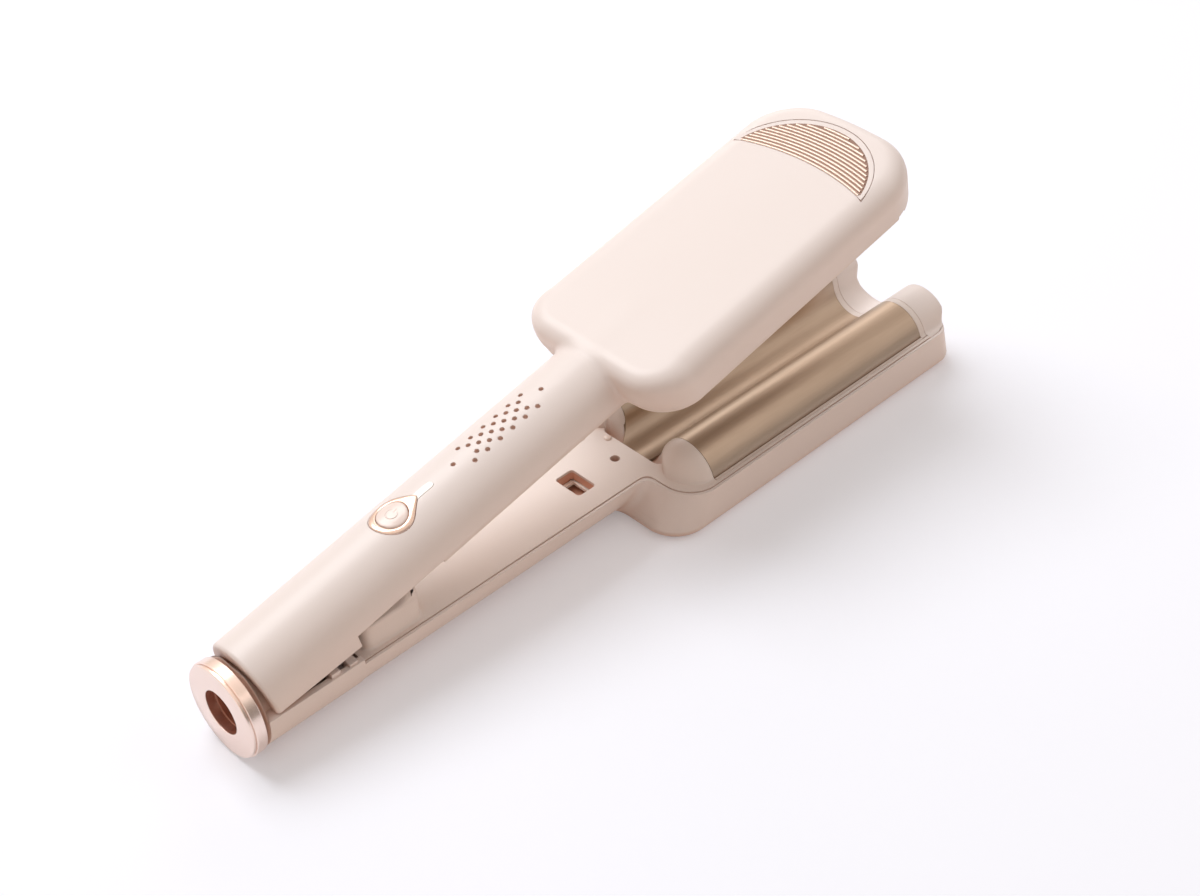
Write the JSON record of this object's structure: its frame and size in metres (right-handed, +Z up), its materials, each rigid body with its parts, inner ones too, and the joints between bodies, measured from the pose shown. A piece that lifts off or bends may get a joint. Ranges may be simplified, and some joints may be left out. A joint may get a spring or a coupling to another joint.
{
  "type": "hair waver",
  "caption": "Two-arm hair waver with a sprung tail hinge, a two-barrel lower plate with a valley, a one-barrel upper plate, round power button and turning cord inlet",
  "frame": {"origin": "bottom centre of the box round the whole object, on the surface that it lies on", "axes": "+X from the cord end to the tip, +Z up, Y across; the object mirrors about the XZ plane but for small details"},
  "size_m": [0.346, 0.079, 0.1102],
  "materials": {
    "casing": "pearl lacquer with a soft gloss",
    "inner_plastic": "moulded, satin",
    "plate_metal": "smooth champagne coating",
    "rose_metal": "polished rose-gold plating",
    "sleeve_brown": "moulded, matte",
    "button_pink": "lacquered",
    "lens_white": "milky light guide",
    "bumper_rubber": "moulded",
    "heater_ceramic": "ceramic, matte",
    "spring_steel": "bright",
    "screw_steel": "zinc plated",
    "bracket_steel": "stamped",
    "contact_brass": "polished",
    "lead_sleeve": "silicone sleeve",
    "board_green": "solder mask",
    "component_black": "moulded"
  },
  "bodies": {
    "lower_arm": {"lower_shell": "casing", "lower_inner_cover": "inner_plastic", "tip_cap": "casing", "lower_heating_plate": "plate_metal", "lower_plate_carrier": "inner_plastic", "lower_heaters": "heater_ceramic", "lower_heater_clips": "spring_steel", "lower_thermistor": "heater_ceramic", "cover_screws": "screw_steel", "carrier_screws": "screw_steel", "stop_bumper": "bumper_rubber", "tail_ring": "rose_metal", "contact_block": "inner_plastic", "contact_brushes": "contact_brass", "hinge_pin": "screw_steel", "lower_hinge_bracket": "bracket_steel", "lower_bracket_screws": "screw_steel", "torsion_spring": "spring_steel", "supply_leads": "lead_sleeve", "lower_heater_leads": "lead_sleeve"},
    "upper_arm": {"upper_cover": "casing", "upper_inner_cover": "inner_plastic", "upper_heating_plate": "plate_metal", "upper_plate_carrier": "inner_plastic", "upper_heater": "heater_ceramic", "upper_heater_clip": "spring_steel", "thermal_fuse": "heater_ceramic", "circuit_board": "board_green", "board_components": "component_black", "power_switch": "component_black", "button_bezel": "rose_metal", "indicator_lens": "lens_white", "grip_insert": "rose_metal", "upper_screws": "screw_steel", "board_screws": "screw_steel", "upper_leads": "lead_sleeve", "upper_hinge_bracket": "bracket_steel", "upper_bracket_screws": "screw_steel", "lock_hook": "inner_plastic"},
    "button": {"power_button": "button_pink"},
    "cord_sleeve": {"swivel_sleeve": "sleeve_brown", "contact_rings": "contact_brass"},
    "lock": {"lock_slider": "inner_plastic"}
  },
  "joints": [
    {"name": "arm_hinge", "type": "hinge", "parent": "lower_arm", "child": "upper_arm", "pos_m": [-0.147, 0, 0.02], "axis": [0, 1, 0], "range_deg": [0, 13], "stiffness_Nm_per_rad": 0.7, "springref_deg": -60.16, "deforming": ["torsion_spring"]},
    {"name": "button_press", "type": "slide", "parent": "upper_arm", "child": "button", "axis": [0.225, 0, -0.9744], "range_m": [0, 0.0006], "stiffness_N_per_m": 1500},
    {"name": "cord_turn", "type": "hinge", "parent": "lower_arm", "child": "cord_sleeve", "pos_m": [-0.165, 0, 0.018], "axis": [1, 0, 0], "continuous": true},
    {"name": "lock_slide", "type": "slide", "parent": "lower_arm", "child": "lock", "axis": [-1, 0, 0], "range_m": [0, 0.003]}
  ]
}
